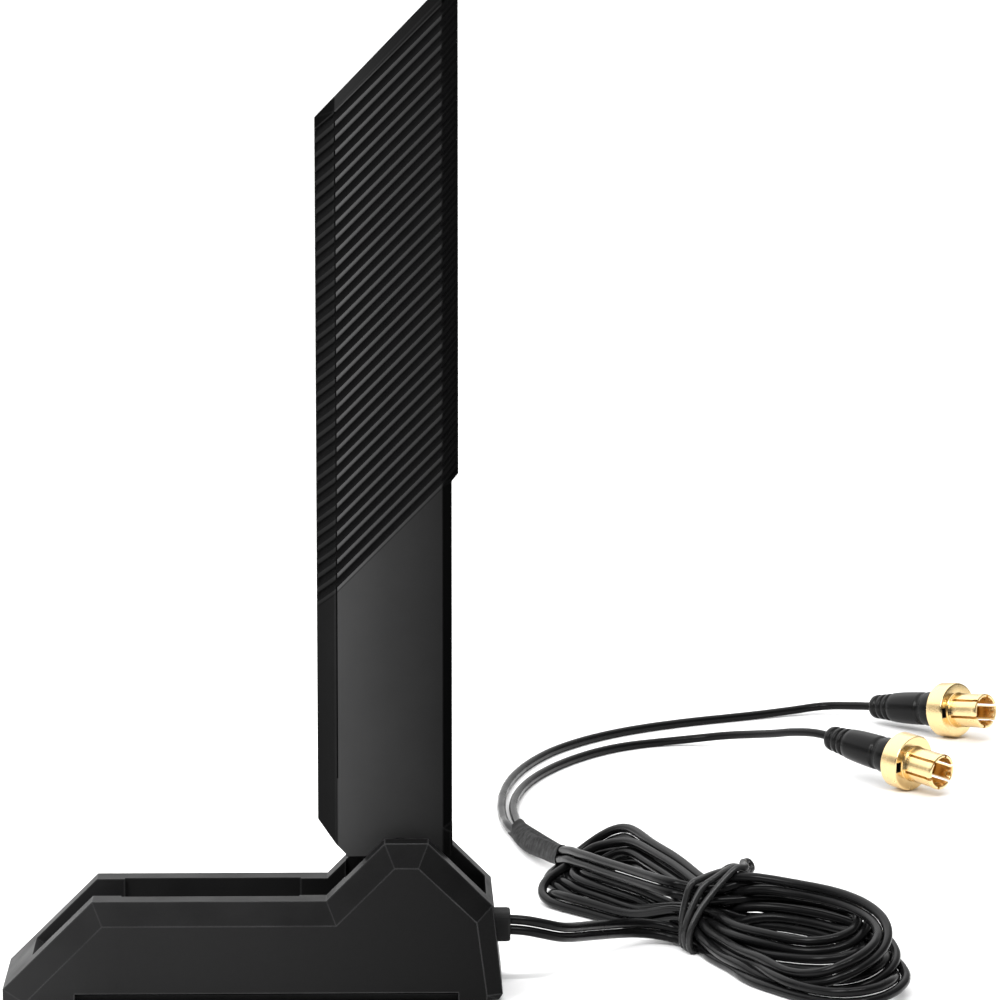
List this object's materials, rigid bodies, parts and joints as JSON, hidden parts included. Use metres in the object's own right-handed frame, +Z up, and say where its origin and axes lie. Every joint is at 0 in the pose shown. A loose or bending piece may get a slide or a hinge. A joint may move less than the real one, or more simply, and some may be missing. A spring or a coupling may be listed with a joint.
{
  "type": "folding desktop wi-fi antenna",
  "caption": "Flat blade antenna hinged in a weighted tray base, with a tied pair of thin coaxial leads ending in push-on connectors.",
  "frame": {"origin": "middle of the base's footprint, on the surface that it stands on", "axes": "+Z up along the raised blade; +X along the base, from the low tray end to the cable end; +Y towards the back"},
  "size_m": [0.2111, 0.2643, 0.1939],
  "materials": {
    "housing": "black moulded ABS, fine satin grain",
    "blade": "black moulded ABS, satin",
    "rubber": "soft black anti-slip rubber",
    "gland": "black moulded grommet",
    "boot": "black moulded PVC boot, semi-gloss",
    "steel": "plain steel",
    "magnet": "nickel plated",
    "gold": "polished gold plating on brass",
    "copper": "bare copper foil",
    "board": "glass-epoxy laminate",
    "ptfe": "amber insulator",
    "jacket": "black PVC jacket, semi-gloss",
    "shrink": "dark grey heat-shrink tube",
    "tie": "black plastic-covered wire"
  },
  "bodies": {
    "base": {"base_housing": "housing", "bottom_cover": "housing", "base_pad": "rubber", "steel_ballast": "steel", "magnet_1": "magnet", "magnet_2": "magnet", "cover_screw_1": "steel", "cover_screw_2": "steel", "cover_screw_3": "steel", "cover_screw_4": "steel", "hinge_pin": "steel", "friction_washer_1": "steel", "friction_washer_2": "steel", "cable_gland": "gland", "coax_clamp": "housing", "inner_coax_1": "jacket", "inner_coax_2": "jacket", "coax_tail_1": "jacket", "coax_tail_2": "jacket", "cable_hank": "jacket", "hank_tie": "tie", "split_sleeve": "shrink", "coax_lead_1": "jacket", "coax_lead_2": "jacket", "connector_1_boot": "boot", "connector_1_ferrule": "gold", "connector_1_body": "gold", "connector_1_insulator": "ptfe", "connector_1_contact": "gold", "connector_2_boot": "boot", "connector_2_ferrule": "gold", "connector_2_body": "gold", "connector_2_insulator": "ptfe", "connector_2_contact": "gold"},
    "blade": {"blade_front_shell": "blade", "blade_rear_shell": "blade", "hinge_knuckle": "housing", "knuckle_screw_1": "steel", "knuckle_screw_2": "steel", "antenna_board": "board", "radiator_1": "copper", "radiator_2": "copper", "blade_coax_1": "jacket", "blade_coax_2": "jacket"}
  },
  "joints": [
    {"name": "blade_fold", "type": "hinge", "parent": "base", "child": "blade", "pos_m": [0.02765, 0, 0.0246], "axis": [0, -1, 0], "range_deg": [-30, 90]}
  ]
}
